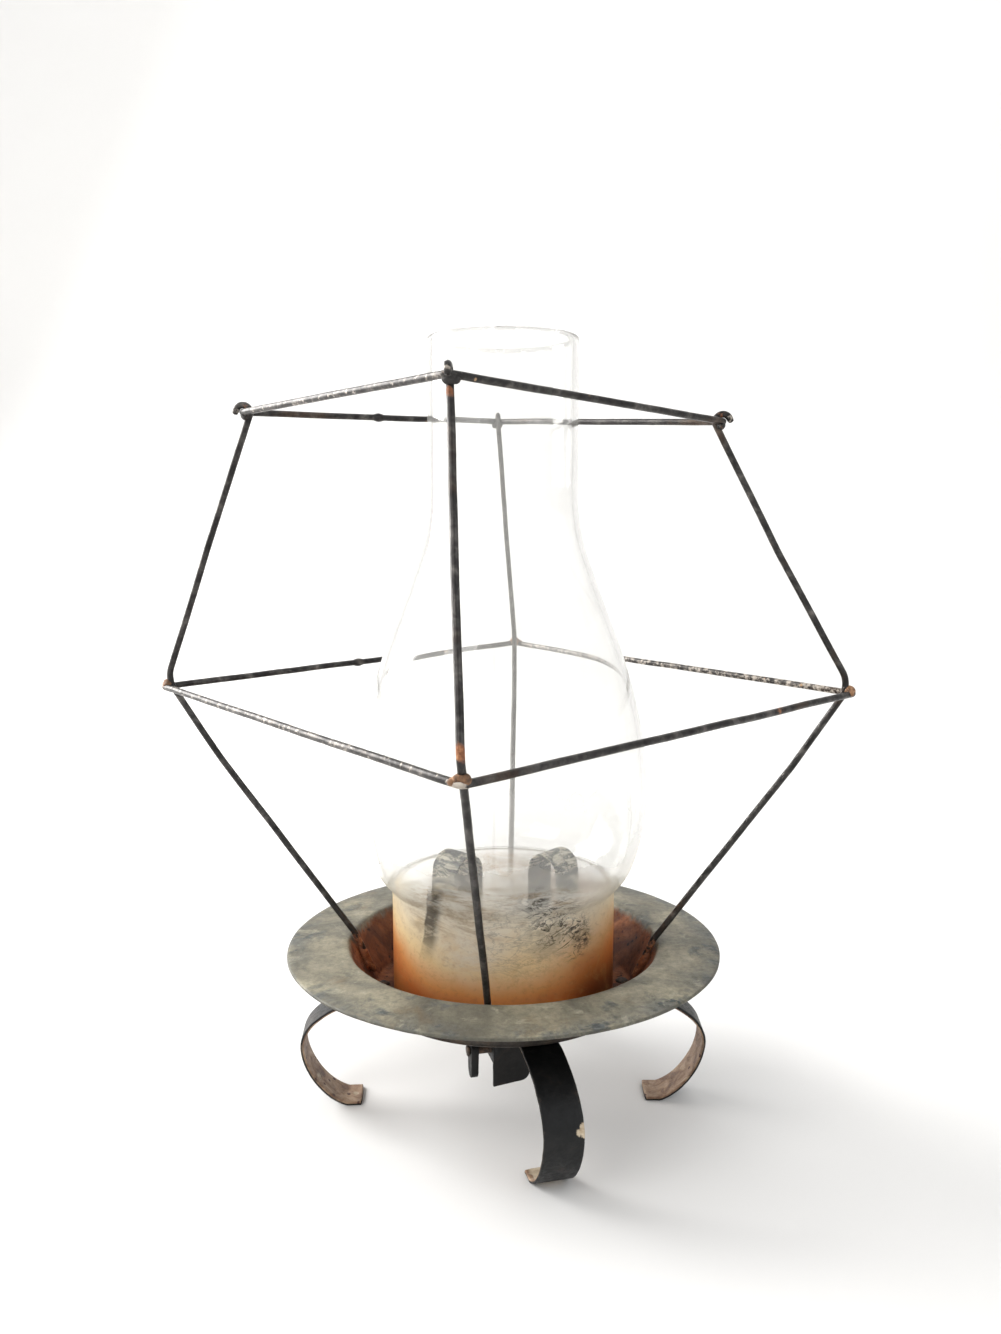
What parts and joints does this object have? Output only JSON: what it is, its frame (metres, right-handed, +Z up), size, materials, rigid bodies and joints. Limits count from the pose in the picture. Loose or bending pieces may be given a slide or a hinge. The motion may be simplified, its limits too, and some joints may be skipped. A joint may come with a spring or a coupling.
{
  "type": "barn lantern",
  "caption": "Glass chimney lantern: an open iron pan on curved strap feet, with a faceted wire guard, spring clips inside the chimney and a candle cup.",
  "frame": {"origin": "on the plane the feet rest on, at the axis of the pan and chimney", "axes": "+Z up along the pan's and chimney's axis; -Y towards the cage's front corner, +X towards its right corner"},
  "size_m": [0.2343, 0.237, 0.2593],
  "materials": {
    "wire_iron": "drawn wire, oxidised near-black with light wear and rust at the joints",
    "pan_iron": "sheet iron, mottled grey-olive patina with red-brown rust inside the well",
    "glass": "blown clear glass, hazy and stained brown towards the foot",
    "clip_steel": "spring strap, dull grey with rubbed and brown patches",
    "cup_iron": "sheet iron, rusted",
    "strap_iron": "flat iron strap, black with rusty inner faces",
    "rivet_iron": "set iron rivets, dark brown",
    "solder": "old solder and braze, tan with rust"
  },
  "bodies": {
    "lantern": {"pan": "pan_iron", "top_ring": "wire_iron", "middle_ring": "wire_iron", "upright_front": "wire_iron", "upright_right": "wire_iron", "upright_back": "wire_iron", "upright_left": "wire_iron", "top_solder": "solder", "middle_solder": "solder", "well_solder": "solder", "clip_left": "clip_steel", "clip_right": "clip_steel", "clip_rivets": "rivet_iron", "candle_cup": "cup_iron", "cup_rivet": "rivet_iron", "foot_front": "strap_iron", "foot_right": "strap_iron", "foot_back": "strap_iron", "foot_left": "strap_iron", "foot_rivets": "rivet_iron", "catch_bracket": "strap_iron", "catch_pin": "rivet_iron", "catch_rivets": "rivet_iron"},
    "chimney": {"chimney": "glass"},
    "catch_lever": {"catch_lever": "strap_iron"}
  },
  "joints": [
    {"name": "chimney_lift", "type": "slide", "parent": "lantern", "child": "chimney", "axis": [0, 0, 1], "range_m": [0, 0.2]},
    {"name": "catch_swing", "type": "hinge", "parent": "lantern", "child": "catch_lever", "pos_m": [-0.00655, -0.02729, 0.0293], "axis": [0.9511, 0.309, 0], "range_deg": [-60, 60]}
  ]
}
